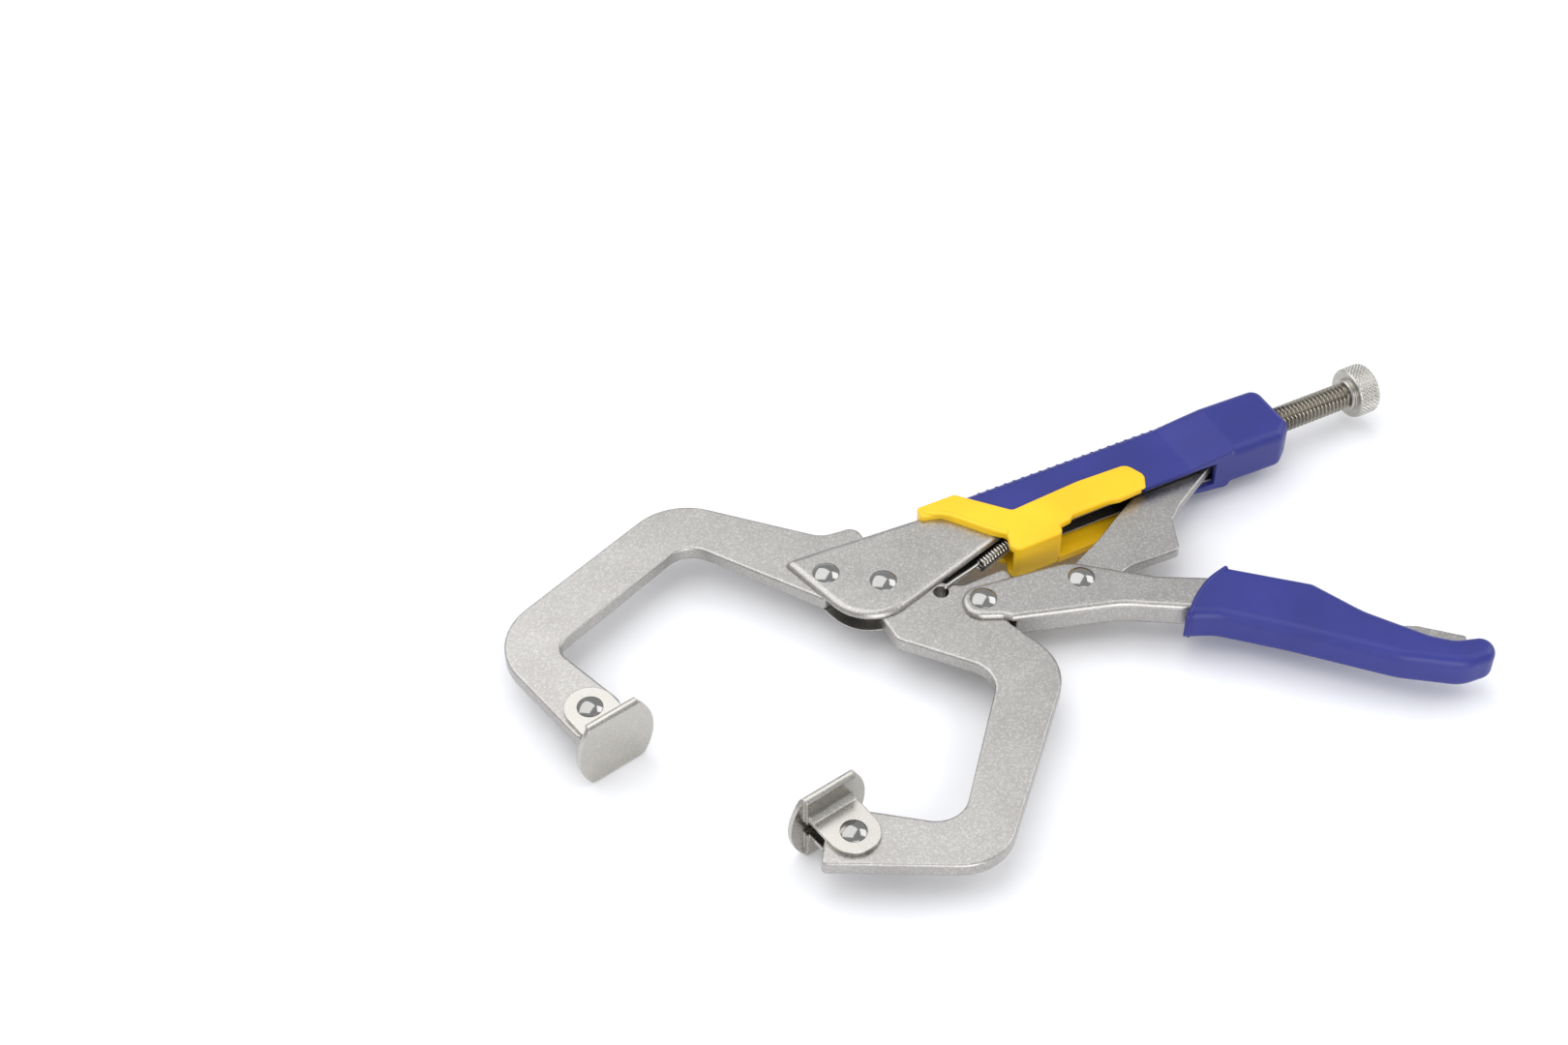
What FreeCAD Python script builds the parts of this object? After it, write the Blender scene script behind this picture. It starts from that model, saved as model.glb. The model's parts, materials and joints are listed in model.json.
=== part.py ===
"""Locking C-clamp pliers, open, lying on their side.

Drawing frame: X runs along the upper handle towards the adjusting knob, Y goes from the moving
jaw's side to the fixed jaw's side, and Z = 0 is the mid-plane that every flat piece is symmetric
about. Once every piece is made, the whole tool is moved so that its origin is the bottom centre
of its bounding box. Millimetres throughout.
"""
import FreeCAD, Part
import math
import os

# ---- driving dimensions ----------------------------------------------------------------------
JAW_T = 5.2            # forged jaws
SHEET = 2.0            # pressed steel of the channel and the lever
RUN_GAP = 0.08         # free space each side of a jaw between pressed cheeks
LINK_T = 4.0
RELEASE_T = 4.8
RELEASE_PIN_R = 2.0
WIDE_IN = 4.9          # half the inside width of the channel where the screw lies
GRIP_ROUND = 3.2       # outer edges of the lever's sleeve
GRIP_T = 1.4           # dipped sleeve on the steel
HEAD_GAP = 0.1         # under a rivet's head where another piece turns
PAD_T = 1.5            # sheet of the swivel pads

# pivots and rivets, in the drawing frame
JAW_RIVET = (-15.7, 10.1)
JAW_PIVOT = (-0.7, -1.5)
LEVER_PIVOT = (24.1, -23.5)
LINK_PIVOT = (57.1, -30.2)
FIXED_PAD_PIVOT = (-107.3, -6.2)
MOVING_PAD_PIVOT = (-57.5, -86.7)
RELEASE_PIVOT = (108.0, -66.5)
SPRING_HOLE = (14.4, -13.1)
SPRING_ANCHOR = (70.0, 5.5)

RIVET_R = 3.0
PAD_RIVET_R = 2.5
RIVET_HEAD_R = 4.5
RIVET_HEAD_H = 1.9
RIVET_FIT = 0.05       # radial clearance of a pivot
SPRING_HOLE_R = 2.6
SPRING_R = 2.5         # outside radius of the coil
SPRING_WIRE_R = 0.6
SPRING_WIRE_RUN = 19.0 # from the hole to the first coil
SPRING_TAIL = 3.6      # from the last coil to the anchor pin

SCREW_Y = 5.5
SCREW_R = 4.76         # 3/8 in
SCREW_CORE_R = 3.95
SCREW_FIT = 0.08
THREAD_PITCH = 1.5875  # 16 threads to the inch
SCREW_TIP_X = 151.0
KNOB_X = 189.9
KNOB_R = 9.0
KNOB_T = 8.2
KNOB_BOSS_R = 5.9
KNOB_BOSS_T = 1.5
NUT_X = 144.0          # the swaged nut runs from here to the channel's end
CHANNEL_END_X = 156.5
GRIP_END_X = 158.2
GRIP_CLOSED_X = 126.0  # behind this the grip's underside is closed
FLOOR_X = 134.0        # and behind this the channel's

PAD_DEPTH = 14.0       # from the pad's rivet to its clamping face
PAD_HALF_W = 14.0
PAD_HALF_H = 13.0
PAD_FLAT_HALF = 9.0
PAD_EAR_R = 8.2
PAD_BEND_R = 2.2        # inside bend between hem and ear
FIXED_PAD_NORMAL = -79.0
MOVING_PAD_NORMAL = 99.5
JAW_EDGE = 0.9         # rounding along the jaws' edges

TALL = 60.0            # a height that passes any piece


# ---- helpers ---------------------------------------------------------------------------------
def vec(x, y, z=0.0):
    return FreeCAD.Vector(x, y, z)


def rounded_wire(corners, z=0.0):
    """A closed wire through corners (x, y, radius), each corner rounded by its radius."""
    count = len(corners)
    ends = []
    for i, (x, y, r) in enumerate(corners):
        here = vec(x, y, z)
        before = vec(*corners[i - 1][:2], z) - here
        after = vec(*corners[(i + 1) % count][:2], z) - here
        before.normalize()
        after.normalize()
        if r <= 0:
            ends.append((here, None, here))
            continue
        half = before.getAngle(after) / 2
        reach = r / math.tan(half)
        middle = before + after
        middle.normalize()
        mid = here + middle * (r / math.sin(half) - r)
        ends.append((here + before * reach, mid, here + after * reach))
    edges = []
    for i, (start, mid, end) in enumerate(ends):
        if mid is not None:
            edges.append(Part.Arc(start, mid, end).toShape())
        following = ends[(i + 1) % count][0]
        if (following - end).Length > 1e-6:
            edges.append(Part.LineSegment(end, following).toShape())
    return Part.Wire(edges)


def slab(corners, low, high):
    """A plate with a rounded outline, from Z = low to Z = high."""
    face = Part.Face(rounded_wire(corners, low))
    return face.extrude(vec(0, 0, high - low))


def disc(centre, r, low, high):
    return Part.makeCylinder(r, high - low, vec(*centre, low), vec(0, 0, 1))


def box(x0, y0, z0, x1, y1, z1):
    return Part.makeBox(x1 - x0, y1 - y0, z1 - z0, vec(x0, y0, z0))


def width_prism(stations, turn=0.0, about=(0.0, 0.0)):
    """A prism along Y whose half width in Z follows stations (x, half width) along X."""
    top = [vec(x, -TALL * 2, w) for x, w in stations]
    low = [vec(x, -TALL * 2, -w) for x, w in reversed(stations)]
    face = Part.Face(Part.makePolygon(top + low + top[:1]))
    prism = face.extrude(vec(0, TALL * 4, 0))
    prism.translate(vec(*about))
    prism.rotate(vec(*about), vec(0, 0, 1), turn)
    return prism


def widths_plus(stations, more):
    return [(x, w + more) for x, w in stations]


def edges_near(shape, test):
    return [e for e in shape.Edges if test(e)]


def side_edges(shape, low, high, x_low=-TALL * 4):
    """The edges along a piece's two sides whose middles have Y between low and high."""
    def along_side(e):
        centre = e.CenterOfMass
        off_mid = abs(centre.z) > 3.0 and all(v.Z * centre.z > 9.0 for v in e.Vertexes)
        rise = max(v.Z for v in e.Vertexes) - min(v.Z for v in e.Vertexes)
        return off_mid and low < centre.y < high and centre.x > x_low and rise < e.Length * 0.3
    return edges_near(shape, along_side)


def in_pad_frame(shape, pivot, normal_deg):
    """Places a pad drawn with its pivot at the origin and its clamping face towards +Y."""
    shape.rotate(vec(0, 0), vec(0, 0, 1), normal_deg - 90.0)
    shape.translate(vec(*pivot))
    return shape


# ---- outlines (x, y, corner radius) ----------------------------------------------------------
FIXED_JAW = [
    (4.0, 1.6, 0), (4.0, 26.5, 4), (-8.0, 27.5, 10), (-46.3, 67.0, 22), (-126.0, 36.1, 22),
    (-115.2, -15.3, 2), (-95.6, -11.2, 6.5), (-106.8, 22.8, 5.5), (-49.7, 45.7, 10),
    (-20.8, 1.6, 2)]

MOVING_JAW = [
    (-8.0, -5.0, 0), (-8.3, -24.5, 6), (13.8, -51.3, 10.5), (-27.1, -98.5, 10.4),
    (-58.7, -73.4, 9), (-71.3, -91.8, 1.5), (-23.7, -117.9, 17.8), (35.0, -58.4, 20),
    (27.0, -33.6, 3), (33.2, -29.6, 4), (34.4, -22.2, 2), (38.6, -16.6, 2.5), (38.0, -13.4, 1.5),
    (22.2, -13.6, 3), (8.0, -2.0, 0)]

CHANNEL = [
    (-25.6, 21.4, 1.5), (-15.8, -19.1, 15.8), (46.0, -0.9, 8), (62.0, -5.0, 6),
    (CHANNEL_END_X, -5.0, 2), (CHANNEL_END_X, 15.4, 4), (30.0, 18.2, 20), (4.0, 19.8, 0),
    (-10.0, 20.7, 0)]
NARROW = JAW_T / 2 + RUN_GAP + SHEET
CHANNEL_WIDTH = [(-40.0, NARROW), (116.0, NARROW), (134.0, WIDE_IN + SHEET),
                 (TALL * 4, WIDE_IN + SHEET)]
CHANNEL_ROOM = [
    (-40.0, -40.0, 0), (NUT_X, -40.0, 0), (NUT_X, 13.6, 3), (30.0, 16.2, 20), (4.0, 17.8, 0), (4.0, 40.0, 0),
    (-40.0, 40.0, 0)]

GRIP = [
    (32.0, 19.7, 0), (60.0, 19.3, 60), (125.0, 18.3, 80), (GRIP_END_X, 17.2, 4.5),
    (GRIP_END_X, -3.0, 4), (152.6, -7.6, 4), (120.0, -6.5, 0), (60.0, -6.5, 0), (40.0, -2.0, 0),
    (32.0, 12.0, 0)]

COLLAR = [
    (24.2, 20.8, 1.2), (23.2, 16.2, 1), (30.0, 14.4, 5), (41.0, -0.8, 8), (44.6, -4.0, 2),
    (41.4, -12.0, 3), (61.9, -12.0, 3), (62.4, -8.2, 1), (67.0, -7.6, 1), (68.5, -6.2, 1),
    (82.5, -6.1, 1), (86.5, -7.0, 1), (97.4, -6.4, 1.5), (100.4, -1.0, 3.5), (97.4, 6.3, 4),
    (78.3, 6.9, 30), (52.0, 5.2, 2), (43.0, 15.4, 6), (38.5, 20.6, 1)]
COLLAR_WIDTH = [(0.0, 6.9), (60.0, 7.1), (110.0, 6.8)]
COLLAR_FLOOR = -10.5
COLLAR_SKIRT = [(60.5, -12.0, 0), (92.0, -12.0, 3), (97.0, -6.0, 3), (96.0, -2.0, 0),
                (60.5, -2.0, 0)]

LEVER_BACK = [
    (145.4, -117.2, 4), (126.6, -104.8, 30), (102.8, -79.6, 60), (85.0, -60.4, 16),
    (62.9, -46.4, 30), (28.4, -35.2, 1.5)]
LEVER = [
    (16.6, -16.0, 7.2), (57.3, -21.7, 14), (79.3, -40.6, 22), (109.0, -57.6, 14),
    (120.9, -69.4, 8), (127.0, -84.0, 24), (140.0, -103.4, 20), (152.6, -112.6, 3)
    ] + LEVER_BACK + [(26.1, -32.9, 2), (16.9, -28.4, 6)]
LEVER_HALF = JAW_T / 2 + 0.1

LEVER_GRIP = [
    (101.2, -48.6, 0), (122.0, -67.6, 6), (129.5, -85.0, 30), (142.0, -103.5, 20),
    (147.5, -108.6, 8), (158.2, -112.2, 4.6), (155.6, -120.6, 5.2), (143.5, -119.5, 12),
    (127.4, -107.5, 30), (103.4, -82.0, 60), (86.4, -65.6, 20), (77.0, -61.2, 0),
    (88.0, -53.0, 22)]

LINK = [
    (48.8, -37.4, 7.2), (49.2, -25.8, 5), (57.0, -23.2, 6), (73.0, -16.0, 14), (86.0, -8.6, 14),
    (124.4, 10.8, 4.4), (132.7, 8.4, 4), (130.0, -1.8, 4.4), (105.5, -15.2, 10),
    (99.6, -20.0, 5), (94.4, -32.4, 2.5), (74.0, -31.2, 14), (60.5, -38.4, 7)]


RELEASE = [
    (102.6, -60.8, 3), (109.6, -60.6, 3), (122.6, -76.4, 30), (133.4, -92.0, 20),
    (142.0, -96.8, 4), (153.2, -107.6, 1), (151.6, -109.4, 1), (139.0, -101.0, 8),
    (128.6, -94.2, 10), (106.2, -73.0, 6)]


# ---- pieces ----------------------------------------------------------------------------------
def fixed_jaw():
    jaw = slab(FIXED_JAW, -JAW_T / 2, JAW_T / 2)
    jaw = jaw.cut(disc(JAW_PIVOT, 11.5, -TALL, TALL))
    jaw = jaw.cut(disc(JAW_RIVET, RIVET_R, -TALL, TALL))
    jaw = jaw.cut(disc(FIXED_PAD_PIVOT, PAD_RIVET_R, -TALL, TALL))
    return round_outside(jaw)


def round_outside(jaw):
    """Rounds the long edges of a jaw, outside the cheeks."""
    def outside(e):
        flat = all(abs(abs(v.Z) - JAW_T / 2) < 1e-4 for v in e.Vertexes)
        centre = e.CenterOfMass
        near_b = (vec(centre.x, centre.y) - vec(*JAW_PIVOT)).Length < 22.0
        return flat and not near_b and not e.isClosed() and e.Length > 1.5
    return jaw.makeFillet(JAW_EDGE, edges_near(jaw, outside))


def moving_jaw():
    jaw = slab(MOVING_JAW, -JAW_T / 2, JAW_T / 2)
    jaw = jaw.fuse(disc(JAW_PIVOT, 10.0, -JAW_T / 2, JAW_T / 2)).removeSplitter()
    jaw = jaw.cut(disc(JAW_PIVOT, RIVET_R + RIVET_FIT, -TALL, TALL))
    jaw = jaw.cut(disc(LEVER_PIVOT, RIVET_R, -TALL, TALL))
    jaw = jaw.cut(disc(SPRING_HOLE, SPRING_HOLE_R, -TALL, TALL))
    jaw = jaw.cut(disc(MOVING_PAD_PIVOT, PAD_RIVET_R, -TALL, TALL))
    return round_outside(jaw)


def channel_outside():
    body = slab(CHANNEL, -TALL, TALL).common(width_prism(CHANNEL_WIDTH))
    return body.makeFillet(2.4, side_edges(body, 14.0, 25.0, 5.0))


def upper_channel():
    """The pressed channel: cheeks in front, a spine, and the end swaged to a nut."""
    body = channel_outside()
    room = slab(CHANNEL_ROOM, -TALL, TALL).common(width_prism(widths_plus(CHANNEL_WIDTH, -SHEET)))
    floor = box(FLOOR_X, -TALL, -TALL, CHANNEL_END_X, -5.0 + SHEET, TALL)
    body = body.cut(room.cut(floor))
    bore = Part.makeCylinder(SCREW_R + SCREW_FIT, TALL, vec(NUT_X - 1, SCREW_Y), vec(1, 0, 0))
    body = body.cut(bore)
    body = body.fuse(disc(SPRING_ANCHOR, 1.5, -NARROW + 0.5, NARROW - 0.5))
    for centre in (JAW_RIVET, JAW_PIVOT):
        body = body.cut(disc(centre, RIVET_R, -TALL, TALL))
    return body.removeSplitter()


def rivet(centre, half_grip, r, head_r, head_h):
    """A shank with a low domed head on each side."""
    shank = disc(centre, r, -half_grip, half_grip)
    ball_r = (head_r ** 2 + head_h ** 2) / (2 * head_h)
    for side in (1, -1):
        ball = Part.makeSphere(ball_r, vec(*centre, side * (half_grip + head_h - ball_r)))
        low, high = sorted((side * half_grip, side * (half_grip + head_h)))
        shank = shank.fuse(ball.common(disc(centre, head_r, low, high)))
    return shank.removeSplitter()


def collar_outside():
    body = slab(COLLAR, -TALL, TALL).common(width_prism(COLLAR_WIDTH))
    return body.makeFillet(1.0, side_edges(body, 20.0, 25.0) + side_edges(body, -12.5, -11.5))


def upper_collar():
    """The moulded collar: a ring round the channel, dropped below it as a box for the spring."""
    shell = collar_outside().fuse(slab(COLLAR_SKIRT, -TALL, -NARROW).common(
        width_prism(COLLAR_WIDTH))).removeSplitter().cut(channel_outside())
    room = slab([(20.0, COLLAR_FLOOR, 0), (120.0, COLLAR_FLOOR, 0), (120.0, 16.0, 0),
                 (20.0, 16.0, 0)], -NARROW, NARROW)
    mouth = box(62.0, -TALL, -NARROW, 120.0, 16.0, NARROW)
    return biggest(shell.cut(room).cut(mouth))


def upper_grip():
    """The sleeve over the rear of the channel, closed at the end but for the screw."""
    sleeve = slab(GRIP, -TALL, TALL)
    sleeve = sleeve.common(width_prism(widths_plus(CHANNEL_WIDTH, GRIP_T)))
    sleeve = sleeve.makeFillet(3.6, side_edges(sleeve, 14.0, 25.0))
    sleeve = sleeve.cut(channel_outside())
    sleeve = sleeve.cut(collar_outside())
    sleeve = sleeve.cut(box(0.0, -TALL, -NARROW, GRIP_CLOSED_X, 0.0, NARROW))
    hole = Part.makeCylinder(SCREW_R + 0.6, TALL, vec(150, SCREW_Y), vec(1, 0, 0))
    return biggest(sleeve.cut(hole))


def biggest(shape):
    return max(shape.Solids, key=lambda s: s.Volume)


def adjusting_screw():
    """The threaded rod, cut with one groove to each turn, and a rounded tip."""
    half = THREAD_PITCH / 2
    start, end = SCREW_TIP_X, KNOB_X - KNOB_BOSS_T
    points = [vec(start, 0), vec(start, 2.4), vec(start + 1.6, SCREW_CORE_R)]
    turns = int((end - start - 3.0) / THREAD_PITCH)
    for i in range(turns):
        x = start + 1.8 + i * THREAD_PITCH
        points += [vec(x, SCREW_CORE_R), vec(x + half * 0.8, SCREW_R), vec(x + half, SCREW_R)]
    x = start + 1.8 + turns * THREAD_PITCH
    points += [vec(x, SCREW_CORE_R), vec(end, SCREW_CORE_R), vec(end, 0)]
    face = Part.Face(Part.makePolygon(points + points[:1]))
    rod = face.revolve(vec(0, 0), vec(1, 0, 0), 360)
    rod.translate(vec(0, SCREW_Y))
    return rod


def screw_knob():
    along = vec(1, 0, 0)
    boss = Part.makeCylinder(KNOB_BOSS_R, KNOB_BOSS_T, vec(KNOB_X - KNOB_BOSS_T, SCREW_Y), along)
    wheel = Part.makeCylinder(KNOB_R, KNOB_T, vec(KNOB_X, SCREW_Y), along)
    rims = edges_near(wheel, lambda e: e.isClosed() and e.Length > 2 * math.pi * KNOB_R - 1)
    wheel = wheel.makeFillet(0.8, rims)
    return boss.fuse(wheel).removeSplitter()


def lever_skin():
    """The lever before it is hollowed, with its back's bends rounded."""
    body = slab(LEVER, -LEVER_HALF - SHEET, LEVER_HALF + SHEET)
    backs = edges_near(body, lambda e: abs(e.CenterOfMass.z) > 3 and on_back(e, 2.5))
    return body.makeFillet(1.8, backs)


def lever():
    """The closing lever: a channel whose web is on the outer side, forked over the jaw."""
    web_start = LEVER_BACK[-1][0] + 1.1
    inner_back = [(x + 0.9, y + 1.8, r) for x, y, r in reversed(LEVER_BACK[:-1])]
    room = slab([(0.0, -60.0, 0), (web_start, -60.0, 0), (web_start, -33.7, 0)] + inner_back
                + [(170.0, -130.0, 0), (170.0, 0.0, 0), (0.0, 0.0, 0)], -LEVER_HALF, LEVER_HALF)
    body = lever_skin().cut(room)
    body = body.cut(disc(LEVER_PIVOT, RIVET_R + RIVET_FIT, -TALL, TALL))
    body = body.cut(disc(LINK_PIVOT, RIVET_R, -TALL, TALL))
    return body.cut(disc(RELEASE_PIVOT, RELEASE_PIN_R, -TALL, TALL))


def on_back(edge, reach):
    """Whether an edge of the lever's outline lies along its back, within a reach."""
    centre = edge.CenterOfMass
    spine = Part.makePolygon([vec(x, y, centre.z) for x, y, r in LEVER_BACK])
    flat = abs(edge.Vertexes[0].Z - edge.Vertexes[-1].Z) < 0.01
    return flat and spine.distToShape(Part.Vertex(centre))[0] < reach


def lever_grip():
    """The dipped sleeve on the lever, open along the inner side for the release lever."""
    half = LEVER_HALF + SHEET + GRIP_T
    sleeve = slab(LEVER_GRIP, -half, half)
    sleeve = sleeve.makeFillet(GRIP_ROUND, edges_near(sleeve, lambda e: abs(e.CenterOfMass.z) > 3
                                               and e.CenterOfMass.x > 96 and on_back(e, 4.5)))
    sleeve = sleeve.cut(lever_skin())
    room = slab([(90, -45, 0), (103, -53, 0), (119.5, -68.5, 0), (126.0, -84.0, 0),
                 (139, -103.0, 0), (150, -113.0, 0), (172, -112.0, 0), (140, -45, 0)],
                -LEVER_HALF, LEVER_HALF)
    return biggest(sleeve.cut(room))


def toggle_link():
    plate = slab(LINK, -LINK_T / 2, LINK_T / 2)
    plate = plate.cut(disc(LINK_PIVOT, RIVET_R + RIVET_FIT, -TALL, TALL))
    flat = edges_near(plate, lambda e: all(abs(abs(v.Z) - LINK_T / 2) < 1e-4 for v in e.Vertexes)
                      and not e.isClosed())
    return plate.makeFillet(0.5, flat)


def release_lever():
    strip = slab(RELEASE, -RELEASE_T / 2, RELEASE_T / 2)
    return strip.cut(disc(RELEASE_PIVOT, RELEASE_PIN_R + RIVET_FIT, -TALL, TALL))


def release_pin():
    return disc(RELEASE_PIVOT, RELEASE_PIN_R, -LEVER_HALF - SHEET, LEVER_HALF + SHEET)


def swivel_pad(pivot, normal_deg):
    """A stamped pad: a disc with two flats, hemmed back and folded to two ears on the jaw."""
    ends = [vec(x, y) for x, y in ((-PAD_FLAT_HALF, -PAD_HALF_H), (PAD_FLAT_HALF, -PAD_HALF_H),
                                   (PAD_FLAT_HALF, PAD_HALF_H), (-PAD_FLAT_HALF, PAD_HALF_H))]
    outline = [Part.makeLine(ends[0], ends[1]), Part.Arc(ends[1], vec(PAD_HALF_W, 0),
                                                         ends[2]).toShape(),
               Part.makeLine(ends[2], ends[3]), Part.Arc(ends[3], vec(-PAD_HALF_W, 0),
                                                         ends[0]).toShape()]
    face = Part.Face(Part.Wire(outline)).extrude(vec(0, 0, PAD_T))
    face.rotate(vec(0, 0), vec(1, 0, 0), 90)
    face.translate(vec(0, PAD_DEPTH))
    pad = face
    back = PAD_DEPTH - PAD_T
    inner = JAW_T / 2 + RUN_GAP
    for side in (1, -1):
        fold = sorted((side * inner, side * PAD_HALF_H))
        web = box(-PAD_FLAT_HALF, back - PAD_T, fold[0], PAD_FLAT_HALF, back, fold[1])
        ends = sorted((side * inner, side * (inner + PAD_T)))
        ear = box(-PAD_EAR_R, 0, ends[0], PAD_EAR_R, back, ends[1])
        ear = ear.fuse(disc((0, 0), PAD_EAR_R, ends[0], ends[1]))
        pad = pad.fuse(web).fuse(ear)
    pad = pad.removeSplitter()
    folds = edges_near(pad, lambda e: abs(abs(e.CenterOfMass.z) - PAD_HALF_H) < 1e-3
                       and e.Length > 2 * PAD_FLAT_HALF - 1e-3)
    pad = pad.makeFillet(1.3, folds)
    bends = edges_near(pad, lambda e: abs(abs(e.CenterOfMass.z) - inner - PAD_T) < 1e-3
                       and abs(e.CenterOfMass.y - back + PAD_T) < 1e-3)
    pad = pad.makeFillet(PAD_BEND_R, bends)
    pad = pad.cut(disc((0, 0), PAD_RIVET_R + RIVET_FIT, -TALL, TALL))
    return in_pad_frame(pad, pivot, normal_deg)


def rod(points, r):
    """A round wire through points, with rounded bends."""
    wire = Part.makeSphere(r, points[0])
    for start, end in zip(points, points[1:]):
        run = end - start
        wire = wire.fuse(Part.makeCylinder(r, run.Length, start, run))
        wire = wire.fuse(Part.makeSphere(r, end))
    return wire


def tension_spring():
    """The jaw spring: a close coil between a hook through the jaw and a tail round a pin."""
    hole, anchor = vec(*SPRING_HOLE), vec(*SPRING_ANCHOR)
    along = anchor - hole
    length = along.Length
    along.normalize()
    low, high = SPRING_WIRE_RUN, length - SPRING_TAIL
    coil = Part.makeCylinder(SPRING_R, high - low, hole + along * low, along)
    coil = coil.cut(Part.makeCylinder(SPRING_R - 2 * SPRING_WIRE_R, length, hole, along))
    lift = vec(0, 0, 1)
    side = JAW_T / 2 + SPRING_WIRE_R + 0.15
    inside = SPRING_R - SPRING_WIRE_R
    near = hole + along * (SPRING_HOLE_R - SPRING_WIRE_R - 0.1)
    hook = rod([near - lift * (side + 1.2), near + lift * side, near + along * 4.6 + lift * side,
                hole + along * (low + 0.4) + lift * inside], SPRING_WIRE_R)
    tail = rod([hole + along * (high - 0.4) + lift * inside, anchor - along * 2.3 + lift * 0.4],
               SPRING_WIRE_R)
    return coil.fuse(hook).fuse(tail)


def build():
    """Every piece by node name."""
    over_jaw = JAW_T / 2 + RUN_GAP + PAD_T + HEAD_GAP
    over_lever = LEVER_HALF + SHEET
    large = (RIVET_R, RIVET_HEAD_R, RIVET_HEAD_H)
    small = (PAD_RIVET_R, RIVET_HEAD_R - 0.3, RIVET_HEAD_H - 0.2)
    return {
        "upper_channel": upper_channel(),
        "fixed_jaw": fixed_jaw(),
        "fixed_jaw_rivet": rivet(JAW_RIVET, NARROW, *large),
        "jaw_pivot_rivet": rivet(JAW_PIVOT, NARROW, *large),
        "upper_collar": upper_collar(),
        "upper_grip": upper_grip(),
        "tension_spring": tension_spring(),
        "adjusting_screw": adjusting_screw(),
        "screw_knob": screw_knob(),
        "moving_jaw": moving_jaw(),
        "lever_rivet": rivet(LEVER_PIVOT, over_lever + HEAD_GAP, *large),
        "lever": lever(),
        "lever_grip": lever_grip(),
        "link_rivet": rivet(LINK_PIVOT, over_lever, *large),
        "toggle_link": toggle_link(),
        "release_lever": release_lever(),
        "release_pin": release_pin(),
        "fixed_pad": swivel_pad(FIXED_PAD_PIVOT, FIXED_PAD_NORMAL),
        "fixed_pad_rivet": rivet(FIXED_PAD_PIVOT, over_jaw, *small),
        "moving_pad": swivel_pad(MOVING_PAD_PIVOT, MOVING_PAD_NORMAL),
        "moving_pad_rivet": rivet(MOVING_PAD_PIVOT, over_jaw, *small),
    }


def main():
    os.makedirs("parts", exist_ok=True)
    pieces = build()
    points = Part.makeCompound(list(pieces.values())).tessellate(0.01)[0]
    low = [min(p[i] for p in points) for i in range(3)]
    high = [max(p[i] for p in points) for i in range(3)]
    shift = vec(-(low[0] + high[0]) / 2, -(low[1] + high[1]) / 2, -low[2])
    print("shift", shift.x, shift.y, shift.z, [b - a for a, b in zip(low, high)])
    for name, shape in pieces.items():
        solid = shape.copy()
        solid.translate(shift)
        solid.exportStep(f"parts/{name}.step")
        print(name, len(solid.Solids), round(solid.Volume), solid.isValid())


main()
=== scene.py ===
"""Finishes, fine pieces and studio for the locking C-clamp pliers.

This script gives them their finishes, and makes the pieces that solids can't show well: the
wound spring, the cut thread, the knurled knob, the sleeve's ribs and the rolled lips. Lengths
are millimetres in the tool's own drawing frame, whose X runs along the upper handle and whose Z
= 0 is the mid-plane of the flat pieces, until Shop.place() turns them into the row's metres.
"""

import json
import logging
import math
from dataclasses import dataclass
from enum import Enum
from typing import Callable, Dict, List, Optional, Sequence, Tuple

import bmesh
import bpy
from mathutils import Matrix, Vector

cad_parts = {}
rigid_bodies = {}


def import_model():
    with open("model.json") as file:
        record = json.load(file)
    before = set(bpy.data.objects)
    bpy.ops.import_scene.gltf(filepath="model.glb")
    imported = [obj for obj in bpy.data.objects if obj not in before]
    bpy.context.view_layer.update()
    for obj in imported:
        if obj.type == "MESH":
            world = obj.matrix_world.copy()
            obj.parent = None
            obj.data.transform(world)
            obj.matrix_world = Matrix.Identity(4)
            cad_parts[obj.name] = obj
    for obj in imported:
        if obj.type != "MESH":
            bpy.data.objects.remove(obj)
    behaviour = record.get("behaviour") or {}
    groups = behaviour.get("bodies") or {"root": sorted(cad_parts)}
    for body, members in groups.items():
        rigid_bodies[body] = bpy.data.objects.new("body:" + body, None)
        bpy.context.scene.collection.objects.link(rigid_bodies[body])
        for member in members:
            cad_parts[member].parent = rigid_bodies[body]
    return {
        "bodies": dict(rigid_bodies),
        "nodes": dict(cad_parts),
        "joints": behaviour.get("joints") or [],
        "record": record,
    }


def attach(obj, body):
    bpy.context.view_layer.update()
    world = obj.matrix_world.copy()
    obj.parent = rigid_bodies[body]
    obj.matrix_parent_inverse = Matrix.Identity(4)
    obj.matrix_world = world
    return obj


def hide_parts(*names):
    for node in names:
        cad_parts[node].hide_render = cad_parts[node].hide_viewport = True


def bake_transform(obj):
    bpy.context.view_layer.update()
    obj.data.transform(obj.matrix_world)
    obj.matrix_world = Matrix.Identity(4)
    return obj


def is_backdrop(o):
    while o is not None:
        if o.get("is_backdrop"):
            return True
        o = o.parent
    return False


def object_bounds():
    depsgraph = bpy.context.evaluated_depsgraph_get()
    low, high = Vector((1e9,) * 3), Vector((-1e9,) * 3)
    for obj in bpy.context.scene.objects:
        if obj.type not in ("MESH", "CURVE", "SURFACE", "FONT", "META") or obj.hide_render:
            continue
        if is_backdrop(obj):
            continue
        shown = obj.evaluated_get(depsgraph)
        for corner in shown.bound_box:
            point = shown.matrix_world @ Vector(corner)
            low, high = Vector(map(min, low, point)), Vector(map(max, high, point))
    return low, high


LOG = logging.getLogger("pliers")
MM = 0.001

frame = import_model()

Point = Tuple[float, float, float]


class Slot(Enum):
    """The record's material slots."""

    NICKEL = "nickel_plate"
    PAD = "pad_steel"
    RIVET = "rivet_steel"
    SCREW = "screw_steel"
    KNOB = "knob_steel"
    SPRING = "spring_steel"
    BLUE = "blue_grip"
    YELLOW = "yellow_plastic"


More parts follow.
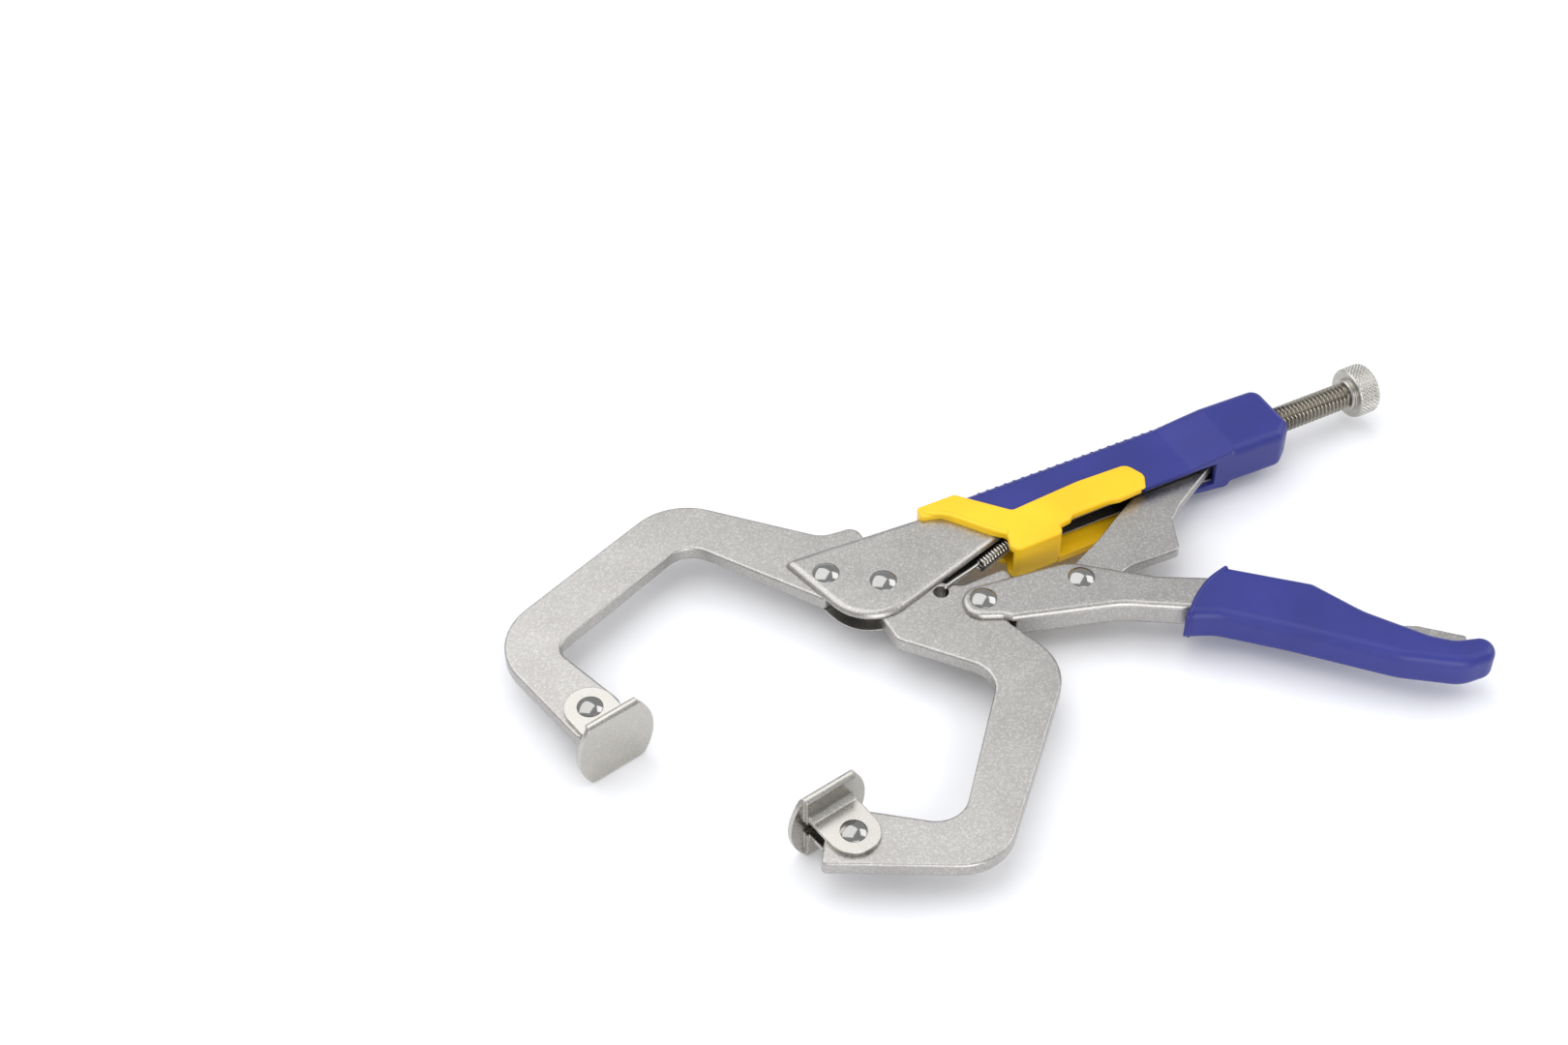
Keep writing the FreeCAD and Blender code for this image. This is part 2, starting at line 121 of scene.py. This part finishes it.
def srgb(code: str) -> Tuple[float, float, float, float]:
    """Turns an sRGB hex colour into linear RGBA.

    Args:
        code: six hex digits, with or without a leading hash.

    Returns:
        The colour in scene-linear values, with alpha 1.
    """
    digits = code.lstrip("#")
    values = [int(digits[i:i + 2], 16) / 255 for i in (0, 2, 4)]
    linear = [v / 12.92 if v <= 0.04045 else ((v + 0.055) / 1.055) ** 2.4 for v in values]
    return (linear[0], linear[1], linear[2], 1.0)


class Graph:
    """A material's node tree, with one way to add a node and one way to wire it."""

    def __init__(self, name: str) -> None:
        """Makes an empty node material.

        Args:
            name: the material's name.
        """
        self.material = bpy.data.materials.new(name)
        self.material.use_nodes = True
        self.tree = self.material.node_tree
        self.tree.nodes.clear()
        self.count = 0

    def add(self, kind: str, settings: Optional[Dict[str, object]] = None,
            **inputs: object) -> bpy.types.Node:
        """Adds a node, sets its properties and fills or links its inputs.

        Args:
            kind: the node's type name.
            settings: property names and values.
            inputs: input names with underscores for spaces, or in1, in2 for positions; a value,
                or an output socket to link from.

        Returns:
            The new node.
        """
        node = self.tree.nodes.new(kind)
        node.location = (220 * (self.count % 8), -260 * (self.count // 8))
        self.count += 1
        for key, value in (settings or {}).items():
            setattr(node, key, value)
        for key, value in inputs.items():
            at = int(key[2:]) if key[:2] == "in" and key[2:].isdigit() else key.replace("_", " ")
            socket = node.inputs[at]
            if isinstance(value, bpy.types.NodeSocket):
                self.tree.links.new(value, socket)
            else:
                socket.default_value = value
        return node

    def math(self, operation: str, first: object, second: object = 0.0,
             clamp: bool = False) -> bpy.types.NodeSocket:
        """Adds a math node.

        Args:
            operation: the math operation.
            first: first value or socket.
            second: second value or socket.
            clamp: whether to clamp the result to 0..1.

        Returns:
            The node's output socket.
        """
        node = self.add("ShaderNodeMath", {"operation": operation, "use_clamp": clamp},
                        in0=first, in1=second)
        return node.outputs[0]

    def remap(self, value: bpy.types.NodeSocket, low: float, high: float, to_low: float,
              to_high: float) -> bpy.types.NodeSocket:
        """Maps a range to another, clamped.

        Args:
            value: the socket to remap.
            low: start of the input range.
            high: end of the input range.
            to_low: result at low.
            to_high: result at high.

        Returns:
            The node's output socket.
        """
        node = self.add("ShaderNodeMapRange", {"clamp": True}, Value=value, From_Min=low,
                        From_Max=high, To_Min=to_low, To_Max=to_high)
        return node.outputs["Result"]

    def noise(self, where: bpy.types.NodeSocket, scale: float, detail: float = 2.0,
              rough: float = 0.5) -> bpy.types.NodeSocket:
        """Adds a noise texture.

        Args:
            where: the coordinates.
            scale: cycles to the metre.
            detail: octaves.
            rough: how strong the finer octaves are.

        Returns:
            The noise value.
        """
        node = self.add("ShaderNodeTexNoise", Vector=where, Scale=scale, Detail=detail,
                        Roughness=rough)
        return node.outputs[0]

    def blend(self, amount: object, first: object, second: object) -> bpy.types.NodeSocket:
        """Mixes two colours.

        Args:
            amount: 0 for the first, 1 for the second.
            first: a colour or socket.
            second: a colour or socket.

        Returns:
            The mixed colour.
        """
        node = self.add("ShaderNodeMix", {"data_type": "RGBA"}, in0=amount, in6=first,
                        in7=second)
        return node.outputs[2]

    def finish(self, **inputs: object) -> bpy.types.Material:
        """Adds the surface and the output.

        Args:
            inputs: the principled shader's inputs.

        Returns:
            The finished material.
        """
        surface = self.add("ShaderNodeBsdfPrincipled", **inputs)
        self.add("ShaderNodeOutputMaterial", Surface=surface.outputs[0])
        return self.material


@dataclass(frozen=True)
class Metal:
    """A bare or plated metal finish."""

    name: str
    colour: str
    bright: str
    roughness: float
    grain: float = 0.0
    grain_scale: float = 1450.0
    edge_mm: float = 0.5
    streak: float = 0.0

    def build(self) -> bpy.types.Material:
        """Makes the node material.

        Returns:
            The material, on object coordinates.
        """
        g = Graph(self.name)
        where = g.add("ShaderNodeTexCoord").outputs["Object"]
        fine = g.noise(where, self.grain_scale, 3.0, 0.65)
        broad = g.noise(where, 60.0, 2.0)
        soft = g.add("ShaderNodeBevel", {"samples": 4}, Radius=self.edge_mm * MM)
        flat = g.add("ShaderNodeNewGeometry").outputs["True Normal"]
        same = g.add("ShaderNodeVectorMath", {"operation": "DOT_PRODUCT"},
                     in0=soft.outputs[0], in1=flat).outputs["Value"]
        # Edge mask: rounded edges, where the bevelled normal leaves the face's true normal. It
        # paints the colour lighter there as a painted highlight, and lowers the roughness.
        edge = g.remap(same, 0.985, 0.8, 0.0, 1.0)
        speck = g.remap(fine, 0.46, 0.7, 0.0, 1.0)
        shade = g.math("MULTIPLY", speck, self.grain)
        shade = g.math("ADD", shade, g.remap(broad, 0.3, 0.7, 0.0, 0.12))
        # Painted highlight: the edge mask lightens every metal's colour towards its bright tone.
        shade = g.math("ADD", shade, g.math("MULTIPLY", edge, 0.5), clamp=True)
        colour = g.blend(shade, srgb(self.colour), srgb(self.bright))
        rough = g.math("MULTIPLY", g.remap(fine, 0.3, 0.7, 0.82, 1.2), self.roughness)
        rough = g.math("SUBTRACT", rough, g.math("MULTIPLY", edge, self.roughness * 0.35))
        height = fine
        if self.streak:
            stretch = g.add("ShaderNodeMapping", in0=where, in3=(0.12, 1.0, 1.0)).outputs[0]
            lines = g.noise(stretch, 900.0, 2.0)
            height = g.math("ADD", fine, g.math("MULTIPLY", lines, self.streak))
        bump = g.add("ShaderNodeBump", Strength=min(1.0, 0.1 + self.grain), Distance=0.03 * MM,
                     Height=height, Normal=soft.outputs[0])
        return g.finish(Base_Color=colour, Metallic=1.0, Roughness=rough,
                        Normal=bump.outputs[0])


@dataclass(frozen=True)
class Plastic:
    """A moulded or dipped plastic finish."""

    name: str
    colour: str
    shade: str
    roughness: float
    coat: float = 0.0
    edge_mm: float = 0.8

    def build(self) -> bpy.types.Material:
        """Makes the node material.

        Returns:
            The material, on object coordinates.
        """
        g = Graph(self.name)
        coords = g.add("ShaderNodeTexCoord")
        where = coords.outputs["Object"]
        broad = g.noise(where, 45.0, 2.0)
        fine = g.noise(where, 1400.0, 2.0)
        colour = g.blend(g.remap(broad, 0.35, 0.65, 0.0, 1.0), srgb(self.colour),
                         srgb(self.shade))
        soft = g.add("ShaderNodeBevel", {"samples": 4}, Radius=self.edge_mm * MM)
        normal = g.add("ShaderNodeBump", Strength=0.08, Distance=0.05 * MM, Height=fine,
                       Normal=soft.outputs[0]).outputs[0]
        return g.finish(Base_Color=colour, Roughness=self.roughness, Coat_Weight=self.coat,
                        Coat_Roughness=0.2, Normal=normal)


# Satin nickel plate on the pressed and forged pieces: fine bright sand grain; rounded edges
# painted lighter as a painted highlight, and made shinier.
NICKEL = Metal("satin nickel plate", "#A5A29F", "#DEDCD8", 0.36, grain=0.5)
# The pads carry the same plate, drawn smoother by the stamping die.
PAD = Metal("stamped nickel plate", "#B4B1AB", "#E6E3DC", 0.25, grain=0.25, streak=0.5)
# Rivet heads polished by the riveting tool.
RIVET = Metal("polished rivet steel", "#9C9B99", "#D6D5D2", 0.12, grain=0.05, edge_mm=0.2)
# The cut thread of the adjusting screw.
SCREW = Metal("bright screw steel", "#9A958B", "#CFCBC1", 0.25, grain=0.1, edge_mm=0.05)
# The knurled knob.
KNOB = Metal("bright knob steel", "#AFACA6", "#E2DFD9", 0.33, grain=0.3, edge_mm=0.3)
# Drawn spring wire.
WIRE = Metal("bright spring wire", "#A5A39E", "#DEDCD7", 0.2, grain=0.1, edge_mm=0.1)
# The dipped handle sleeves, ribbed along the upper handle's spine.
BLUE = Plastic("blue handle vinyl", "#1E2476", "#232980", 0.44, coat=0.05, edge_mm=1.0)
# The moulded collar.
YELLOW = Plastic("yellow collar plastic", "#F2BE0A", "#F8C814", 0.36, coat=0.1)
# The pale ground the tool lies on.
GROUND = Plastic("pale ground", "#F1F1F3", "#F4F4F6", 0.6)

FINISHES: Dict[Slot, object] = {
    Slot.NICKEL: NICKEL, Slot.PAD: PAD, Slot.RIVET: RIVET, Slot.SCREW: SCREW,
    Slot.KNOB: KNOB, Slot.SPRING: WIRE, Slot.BLUE: BLUE, Slot.YELLOW: YELLOW}


class Shop:
    """Places drawing-frame points in the row's frame and makes mesh objects from them."""

    JAW_PIVOT = (-0.7, -1.5)

    def __init__(self, packed: Dict[str, object]) -> None:
        """Finds where the drawing frame lies from the jaw's hinge.
        """
        hinge = next(j for j in packed["joints"] if j["name"] == "jaw_hinge")
        x, y, z = hinge["pos_m"]
        self.offset = Vector((x - self.JAW_PIVOT[0] * MM, y - self.JAW_PIVOT[1] * MM, z))
        self.materials = {slot: finish.build() for slot, finish in FINISHES.items()}

    def place(self, x: float, y: float, z: float = 0.0) -> Vector:
        """Turns a drawing point into the row's frame.

        Args:
            x: along the handle, mm.
            y: across the tool, mm.
            z: out of the mid-plane, mm.

        Returns:
            The point in metres.
        """
        return self.offset + Vector((x, y, z)) * MM

    def piece(self, name: str, bm: bmesh.types.BMesh, slot: Slot, body: str,
              stands_for: Sequence[str] = (), smooth: float = 40.0) -> bpy.types.Object:
        """Makes an object from a bmesh, gives it its finish and fixes it to a body.

        Args:
            name: the object's name.
            bm: the shape, already in the row's frame; it is freed.
            slot: the material slot.
            body: the body it rides on, or "" to leave it unattached.
            stands_for: solids it is shown in place of.
            smooth: the angle below which edges shade smoothly, degrees.

        Returns:
            The object.
        """
        bmesh.ops.recalc_face_normals(bm, faces=bm.faces)
        mesh = bpy.data.meshes.new(name)
        bm.to_mesh(mesh)
        bm.free()
        mesh.shade_smooth()
        mesh.set_sharp_from_angle(angle=math.radians(smooth))
        obj = bpy.data.objects.new(name, mesh)
        bpy.context.scene.collection.objects.link(obj)
        mesh.materials.append(self.materials[slot])
        if body:
            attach(obj, body)
        if stands_for:
            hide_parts(*stands_for)
        LOG.info("%s: %d faces", name, len(mesh.polygons))
        return obj

    def dress(self, packed: Dict[str, object]) -> None:
        """Gives every solid its finish.
        """
        slots = {s["node"]: Slot(s["material_slot"]) for s in packed["record"]["subparts"]}
        for node, obj in packed["nodes"].items():
            material = self.materials[slots[node]]
            for index in range(max(1, len(obj.material_slots))):
                if index < len(obj.material_slots):
                    obj.material_slots[index].material = material
                else:
                    obj.data.materials.append(material)
        LOG.info("dressed %d solids", len(packed["nodes"]))


def ring_sweep(bm: bmesh.types.BMesh, centres: Sequence[Vector], radius: float,
               sides: int = 10) -> None:
    """Sweeps a round section along a line of centres.

    Args:
        bm: the mesh to add to.
        centres: the path, in metres.
        radius: the wire's radius, in metres.
        sides: corners of the section.
    """
    rings: List[List[bmesh.types.BMVert]] = []
    up = Vector((0, 0, 1))
    for i, centre in enumerate(centres):
        ahead = centres[min(i + 1, len(centres) - 1)] - centres[max(i - 1, 0)]
        ahead.normalize()
        side = up - ahead * up.dot(ahead)
        if side.length < 1e-4:
            side = ahead.orthogonal()
        side.normalize()
        up = side
        other = ahead.cross(side)
        rings.append([bm.verts.new(centre + (side * math.cos(a) + other * math.sin(a)) * radius)
                      for a in (2 * math.pi * k / sides for k in range(sides))])
    for first, second in zip(rings, rings[1:]):
        for k in range(sides):
            bm.faces.new((first[k], first[(k + 1) % sides], second[(k + 1) % sides], second[k]))
    bm.faces.new(rings[0])
    bm.faces.new(list(reversed(rings[-1])))


def turned(bm: bmesh.types.BMesh, stations: Sequence[float], sides: int,
           radius: Callable[[float, float], float],
           to_row: Callable[[float, float, float], Vector], axis_y: float) -> None:
    """Makes a closed turned body whose radius may change with the angle.

    Args:
        bm: the mesh to add to.
        stations: places along X, mm.
        sides: corners round the axis.
        radius: gives the radius in mm at a station and an angle in turns.
        to_row: turns drawing points into the row's frame.
        axis_y: the axis's Y, mm.
    """
    rings = []
    for x in stations:
        ring = []
        for k in range(sides):
            turn = k / sides
            r = radius(x, turn)
            ring.append(bm.verts.new(to_row(x, axis_y + r * math.cos(2 * math.pi * turn),
                                            r * math.sin(2 * math.pi * turn))))
        rings.append(ring)
    for first, second in zip(rings, rings[1:]):
        for k in range(sides):
            bm.faces.new((first[k], second[k], second[(k + 1) % sides], first[(k + 1) % sides]))
    bm.faces.new(rings[0])
    bm.faces.new(list(reversed(rings[-1])))


def eased(points: Sequence[Point], rounds: int = 3) -> List[Point]:
    """Rounds a line's corners by cutting them, keeping both ends.

    Args:
        points: the line.
        rounds: how many times to cut.

    Returns:
        The rounded line.
    """
    line = list(points)
    for _ in range(rounds):
        cut = [line[0]]
        for a, b in zip(line, line[1:]):
            cut.append(tuple(0.75 * p + 0.25 * q for p, q in zip(a, b)))
            cut.append(tuple(0.25 * p + 0.75 * q for p, q in zip(a, b)))
        line = cut + [line[-1]]
    return line


@dataclass
class Bead:
    """A raised rounded lip moulded round the mouth of a sleeve or collar."""

    name: str
    body: str
    slot: Slot
    side: Tuple[Tuple[float, float], ...]
    half: float
    radius: float

    def build(self, shop: Shop) -> None:
        """Makes the lip: down one side of the piece, across it, and up the other.

        Args:
            shop: places and finishes pieces.
        """
        near = [(x, y, self.half) for x, y in self.side]
        far = [(x, y, -self.half) for x, y in reversed(self.side)]
        bm = bmesh.new()
        ring_sweep(bm, [shop.place(*p) for p in eased(near + far)], self.radius * MM, 10)
        shop.piece(self.name, bm, self.slot, self.body, smooth=60.0)


# The collar's front lip starts under the channel on the near side and passes over its spine.
COLLAR_LIP = Bead("collar_lip", "frame", Slot.YELLOW,
                  ((45.0, -3.6), (41.8, -0.4), (36.6, 7.0), (31.2, 14.4), (26.0, 16.6),
                   (24.9, 19.6)), 6.6, 0.95)
# The lever sleeve's rolled front edge passes over the lever's back.
GRIP_LIP = Bead("lever_grip_lip", "lever", Slot.BLUE,
                ((100.6, -49.4), (94.0, -50.8), (88.2, -53.6), (82.0, -58.0), (78.6, -61.6)),
                5.6, 0.85)


@dataclass
class RibAssembly:
    """The low ribs moulded across the upper sleeve's spine."""

    first: float = 47.0
    last: float = 128.0
    pitch: float = 3.4
    spine: Tuple[Tuple[float, float], ...] = ((32.0, 19.7), (60.0, 19.3), (125.0, 18.3),
                                              (158.2, 17.2))
    half: float = 5.9
    corner: float = 3.6
    sink: float = 0.5
    radius: float = 0.9

    def top(self, x: float) -> float:
        """Gives the spine's height.

        Args:
            x: the place along the sleeve, mm.

        Returns:
            The spine's Y there, mm.
        """
        for (x0, y0), (x1, y1) in zip(self.spine, self.spine[1:]):
            if x <= x1:
                return y0 + (y1 - y0) * (x - x0) / (x1 - x0)
        return self.spine[-1][1]

    def rib(self, x: float) -> List[Point]:
        """Lists the centre line of one rib, over the spine and its rounded edges.

        Args:
            x: the rib's place along the sleeve, mm.

        Returns:
            The line's points.
        """
        reach = self.corner - self.sink
        line: List[Point] = []
        for k in range(8):
            a = math.radians(5 + 85 * k / 7)
            line.append((x, self.top(x) - self.corner + reach * math.sin(a),
                         self.half - self.corner + reach * math.cos(a)))
        return line + [(x, y, -z) for x, y, z in reversed(line)]

    def build(self, shop: Shop) -> None:
        """Makes the ribs.

        Args:
            shop: places and finishes pieces.
        """
        bm = bmesh.new()
        for i in range(int((self.last - self.first) / self.pitch) + 1):
            path = self.rib(self.first + i * self.pitch)
            ring_sweep(bm, [shop.place(*p) for p in path], self.radius * MM, 8)
        shop.piece("upper_grip_ribs", bm, Slot.BLUE, "frame", smooth=60.0)


@dataclass
class ScrewAssembly:
    """The adjusting screw and its knurled knob."""

    axis_y: float = 5.5
    radius: float = 4.74
    core: float = 3.65
    pitch: float = 1.5875
    tip: float = 151.0
    thread_end: float = 187.4
    boss_front: float = 188.4
    knob_front: float = 189.9
    knob_back: float = 198.1
    knob_radius: float = 9.0
    knurls: int = 38

    def thread(self, x: float, turn: float) -> float:
        """Gives the screw's radius.

        Args:
            x: the place along the screw, mm.
            turn: the angle, in turns.

        Returns:
            The radius there, mm.
        """
        phase = ((x - self.tip) / self.pitch - turn) % 1.0
        crest = min(1.0, max(0.0, (0.42 - abs(phase - 0.5)) / 0.34))
        full = self.core + (self.radius - self.core) * crest
        lead = min(1.0, (x - self.tip) / 1.6)
        return min(full, 2.6 + (self.radius - 2.6) * lead)

    def knurl(self, x: float, turn: float) -> float:
        """Gives the knob's radius, cut by two crossing sets of grooves.

        Args:
            x: the place along the knob, mm.
            turn: the angle, in turns.

        Returns:
            The radius there, mm.
        """
        along = (x - self.knob_front) / (self.knob_back - self.knob_front)
        edge = min(along, 1 - along) * (self.knob_back - self.knob_front)
        chamfer = max(0.0, 0.9 - edge)
        depth = 0.0
        for lean in (1, -1):
            phase = (turn * self.knurls + lean * (x - self.knob_front) / 1.45) % 1.0
            depth = max(depth, 0.55 * max(0.0, 1 - abs(phase - 0.5) / 0.34))
        fade = min(1.0, max(0.0, (edge - 0.5) / 0.5))
        return self.knob_radius - chamfer * 0.8 - depth * fade

    def build(self, shop: Shop) -> None:
        """Makes the screw and the knob.

        Args:
            shop: places and finishes pieces.
        """
        bm = bmesh.new()
        count = int((self.thread_end - self.tip) / self.pitch * 8)
        stations = [self.tip + (self.thread_end - self.tip) * i / count for i in range(count + 1)]
        turned(bm, stations, 48, self.thread, shop.place, self.axis_y)
        neck = [self.thread_end, self.boss_front]
        turned(bm, neck, 32, lambda x, turn: self.core, shop.place, self.axis_y)
        shop.piece("adjusting_screw_thread", bm, Slot.SCREW, "screw", ["adjusting_screw"], 24.0)

        bm = bmesh.new()
        steps = 40
        width = self.knob_back - self.knob_front
        stations = [self.knob_front + width * i / steps for i in range(steps + 1)]
        turned(bm, stations, self.knurls * 8, self.knurl, shop.place, self.axis_y)
        boss = {self.boss_front: 5.4, self.boss_front + 0.5: 5.9, self.knob_front + 0.3: 5.9}
        turned(bm, list(boss), 48, lambda x, turn: boss[x], shop.place, self.axis_y)
        shop.piece("knurled_knob", bm, Slot.KNOB, "knob", ["screw_knob"], 35.0)


@dataclass
class SpringAssembly:
    """The wound spring from the moving jaw's hole to the pin inside the channel."""

    hole: Tuple[float, float] = (14.4, -13.1)
    anchor: Tuple[float, float] = (70.0, 5.5)
    wire: float = 0.6
    coil: float = 2.45
    run: float = 19.0
    tail: float = 3.6
    pitch: float = 1.32
    jaw_half: float = 2.6
    steps_a_turn: int = 18

    def path(self) -> List[Point]:
        """Lists the wire's centres along the spring.

        Returns:
            Points as (along, up, side) in mm: along the spring from the hole, out of the
            mid-plane, and across both.
        """
        mean = self.coil - self.wire
        side = self.jaw_half + self.wire + 0.15
        start = 2.6 - self.wire - 0.1
        points: List[Point] = [(start, -side - 0.6, 0.0), (start, -side + 0.6, 0.0)]
        points += [(start, z, 0.0) for z in (-1.5, 0.0, 1.5)]
        for k in range(1, 7):
            a = math.pi / 2 * k / 6
            points.append((start + 1.1 * (1 - math.cos(a)), side - 1.1 + 1.1 * math.sin(a), 0.0))
        for k in range(1, 9):
            t = k / 8
            smooth = t * t * (3 - 2 * t)
            points.append((start + 1.2 + (self.run - start - 1.6) * t,
                           side + (mean - side) * smooth, 0.0))
        length = math.dist(self.hole, self.anchor)
        turns = int((length - self.tail - self.run) / self.pitch)
        steps = turns * self.steps_a_turn
        for i in range(1, steps + 1):
            a = 2 * math.pi * i / self.steps_a_turn
            along = self.run + (length - self.tail - self.run) * i / steps
            points.append((along, mean * math.cos(a), mean * math.sin(a)))
        points += [(length - 2.9, mean * 0.8, 0.0), (length - 2.2, 0.5, 0.0)]
        return points

    def build(self, shop: Shop) -> None:
        """Makes the spring; it stretches between the channel and the moving jaw.

        Args:
            shop: places and finishes pieces.
        """
        run = Vector((self.anchor[0] - self.hole[0], self.anchor[1] - self.hole[1], 0.0))
        run.normalize()
        across = Vector((-run.y, run.x, 0.0))
        origin = Vector((self.hole[0], self.hole[1], 0.0))
        centres = []
        for along, up, side in self.path():
            p = origin + run * along + across * side
            centres.append(shop.place(p.x, p.y, up))
        bm = bmesh.new()
        ring_sweep(bm, centres, self.wire * MM, 10)
        spring = shop.piece("wound_jaw_spring", bm, Slot.SPRING, "", ["tension_spring"], 60.0)
        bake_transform(spring)


@dataclass
class Studio:
    """The ground, the soft lights and the camera."""

    aim: Point = (-16.37, 38.87, 2.6)
    distance: float = 820.0
    azimuth: float = 63.4
    elevation: float = 45.32
    roll: float = -0.79
    lens: float = 56.25

    def ground(self) -> None:
        """Lays the ground under the tool."""
        bm = bmesh.new()
        bmesh.ops.create_grid(bm, x_segments=1, y_segments=1, size=6.0)
        mesh = bpy.data.meshes.new("ground")
        bm.to_mesh(mesh)
        bm.free()
        obj = bpy.data.objects.new("ground", mesh)
        bpy.context.scene.collection.objects.link(obj)
        mesh.materials.append(GROUND.build())
        obj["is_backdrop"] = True

    def light(self, name: str, place: Point, size: float, power: float) -> None:
        """Hangs a square soft light that faces the tool.

        Args:
            name: the light's name.
            place: where it hangs, metres.
            size: its side, metres.
            power: watts.
        """
        data = bpy.data.lights.new(name, "AREA")
        data.size = size
        data.energy = power
        obj = bpy.data.objects.new(name, data)
        obj.location = place
        obj.rotation_euler = Vector(place).to_track_quat("Z", "Y").to_euler()
        bpy.context.scene.collection.objects.link(obj)

    def sky(self) -> None:
        """Fills the room with even pale light and sets the Standard view transform."""
        world = bpy.data.worlds.new("studio")
        bpy.context.scene.world = world
        world.use_nodes = True
        back = world.node_tree.nodes["Background"]
        back.inputs[0].default_value = (0.95, 0.97, 1.0, 1.0)
        back.inputs[1].default_value = 0.6
        bpy.context.scene.view_settings.view_transform = "Standard"
        bpy.context.scene.view_settings.look = "None"

    def camera(self, shop: Shop) -> None:
        """Sets the camera.

        Args:
            shop: places points.
        """
        az, el = math.radians(self.azimuth), math.radians(self.elevation)
        ahead = Vector((math.cos(az) * math.cos(el), math.sin(az) * math.cos(el), -math.sin(el)))
        data = bpy.data.cameras.new("camera")
        data.lens = self.lens
        data.sensor_width = 36.0
        data.clip_end = 50.0
        obj = bpy.data.objects.new("camera", data)
        turn = (-ahead).to_track_quat("Z", "Y").to_matrix()
        turn = turn @ Matrix.Rotation(math.radians(self.roll), 3, "Z")
        obj.matrix_world = Matrix.Translation(
            shop.place(*self.aim) - ahead * self.distance * MM) @ turn.to_4x4()
        bpy.context.scene.collection.objects.link(obj)
        bpy.context.scene.camera = obj

    def build(self, shop: Shop) -> None:
        """Sets up the whole studio.

        Args:
            shop: places pieces.
        """
        self.ground()
        self.sky()
        self.light("key", (-0.35, 0.5, 1.15), 1.8, 15.0)
        self.light("side", (0.9, -0.2, 0.7), 0.8, 4.0)
        self.light("front", (-0.25, -1.0, 0.45), 0.7, 5.0)
        self.camera(shop)


def plain(bounds: object) -> object:
    """Turns vectors inside bounds into plain lists.


    Returns:
        The same, as lists of floats.
    """
    if isinstance(bounds, (int, float)):
        return float(bounds)
    return [plain(item) for item in bounds]


def main() -> None:
    """Builds the scene."""
    logging.basicConfig(level=logging.INFO)
    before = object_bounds()
    shop = Shop(frame)
    shop.dress(frame)
    ScrewAssembly().build(shop)
    SpringAssembly().build(shop)
    COLLAR_LIP.build(shop)
    GRIP_LIP.build(shop)
    RibAssembly().build(shop)
    Studio().build(shop)
    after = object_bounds()
    {"cad": plain(before), "visual": plain(after)}


if __name__ == "__main__":
    main()
